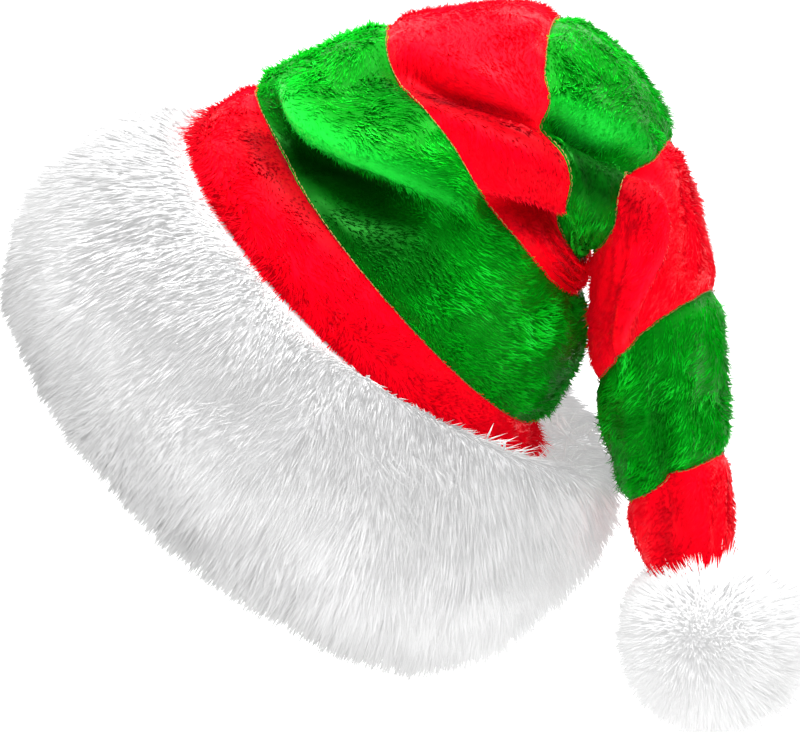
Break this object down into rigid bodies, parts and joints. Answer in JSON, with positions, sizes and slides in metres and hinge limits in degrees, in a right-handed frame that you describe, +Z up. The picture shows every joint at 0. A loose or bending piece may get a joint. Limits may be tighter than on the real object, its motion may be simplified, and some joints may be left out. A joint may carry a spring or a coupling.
{
  "type": "elf hat",
  "caption": "Plush elf hat in its worn form: deep fur brim, striped cone that folds over and hangs behind, fur pompom on the tip.",
  "frame": {"origin": "centre of the head opening, level with the brim's lower edge", "axes": "+Z up as the hat is worn, with the tail hanging plumb; the wearer faces -X and Y runs from ear to ear; the head opening's axis leans back 45 degrees from +Z towards +X"},
  "size_m": [0.315, 0.269, 0.2769],
  "materials": {
    "red_plush": "brushed short pile with a soft sheen",
    "green_plush": "brushed short pile with a soft sheen",
    "white_fur": "long matt fur in soft locks"
  },
  "bodies": {
    "root": {"brim": "white_fur", "stripe_1_red": "red_plush", "stripe_2_green": "green_plush", "stripe_3_red": "red_plush", "stripe_4_green": "green_plush", "stripe_5_red": "red_plush", "stripe_6_green": "green_plush", "stripe_7_red": "red_plush", "pompom": "white_fur"}
  },
  "joints": []
}
